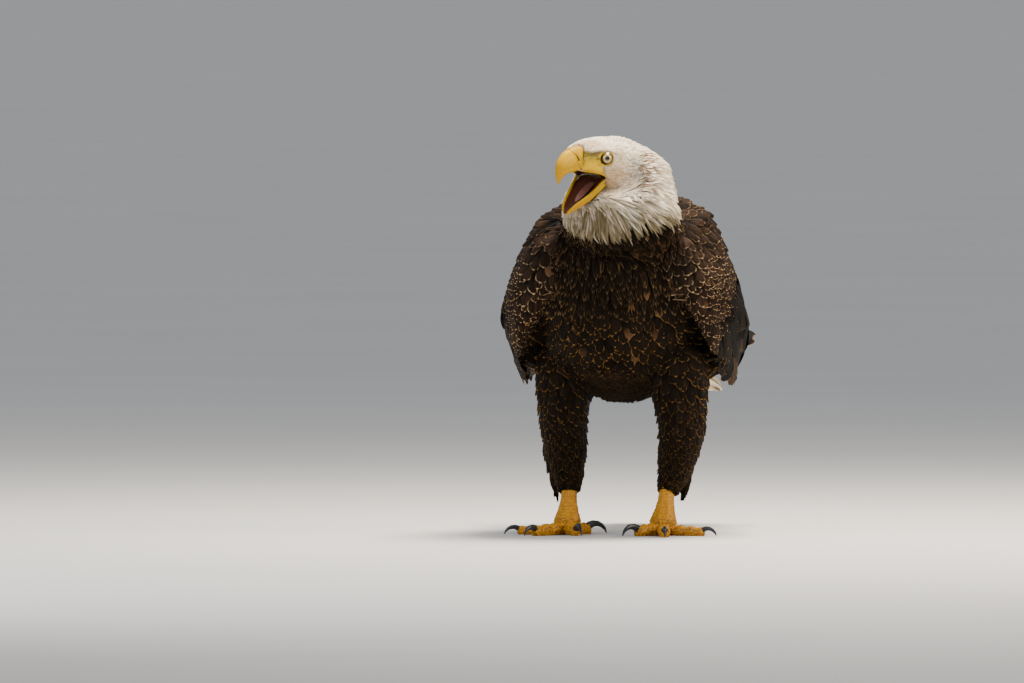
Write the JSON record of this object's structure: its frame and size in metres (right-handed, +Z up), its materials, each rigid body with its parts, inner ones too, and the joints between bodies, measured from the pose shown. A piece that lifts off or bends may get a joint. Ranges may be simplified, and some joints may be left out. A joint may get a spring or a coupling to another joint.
{
  "type": "bald eagle",
  "caption": "Life-size standing bald eagle, head turned to its right with the bill wide open, wings folded and slightly drooped, legs straddled.",
  "frame": {"origin": "on the ground, under the middle of the bird's box", "axes": "+Z up, -Y the way the body faces, +X to the bird's left"},
  "size_m": [0.3552, 0.6832, 0.5803],
  "materials": {
    "white_feathers": "soft overlapping white feathers, faintly cream",
    "brown_feathers": "dark brown feathers with paler tan edges",
    "flight_feathers": "stiff blackish brown flight feathers, faint sheen",
    "cere": "smooth yellow bare skin",
    "bill_horn": "polished orange-yellow horn",
    "mouth": "moist dark purplish brown",
    "eye": "glossy pale cream iris with a black pupil",
    "foot_scales": "golden yellow scales",
    "claw": "glossy slate black"
  },
  "bodies": {
    "root": {"bill_lower": "bill_horn", "bill_upper": "bill_horn", "cere": "cere", "chin": "white_feathers", "claw_left_hind": "claw", "claw_left_inner": "claw", "claw_left_middle": "claw", "claw_left_outer": "claw", "claw_right_hind": "claw", "claw_right_inner": "claw", "claw_right_middle": "claw", "claw_right_outer": "claw", "eye_left": "eye", "eye_right": "eye", "head": "white_feathers", "neck": "white_feathers", "shank_left": "foot_scales", "shank_right": "foot_scales", "tail": "white_feathers", "thigh_left": "brown_feathers", "thigh_right": "brown_feathers", "toe_left_hind": "foot_scales", "toe_left_inner": "foot_scales", "toe_left_middle": "foot_scales", "toe_left_outer": "foot_scales", "toe_right_hind": "foot_scales", "toe_right_inner": "foot_scales", "toe_right_middle": "foot_scales", "toe_right_outer": "foot_scales", "tongue": "mouth", "trunk": "brown_feathers", "wing_left_forearm": "brown_feathers", "wing_left_hand": "flight_feathers", "wing_left_shoulder": "brown_feathers", "wing_right_forearm": "brown_feathers", "wing_right_hand": "flight_feathers", "wing_right_shoulder": "brown_feathers"}
  },
  "joints": []
}
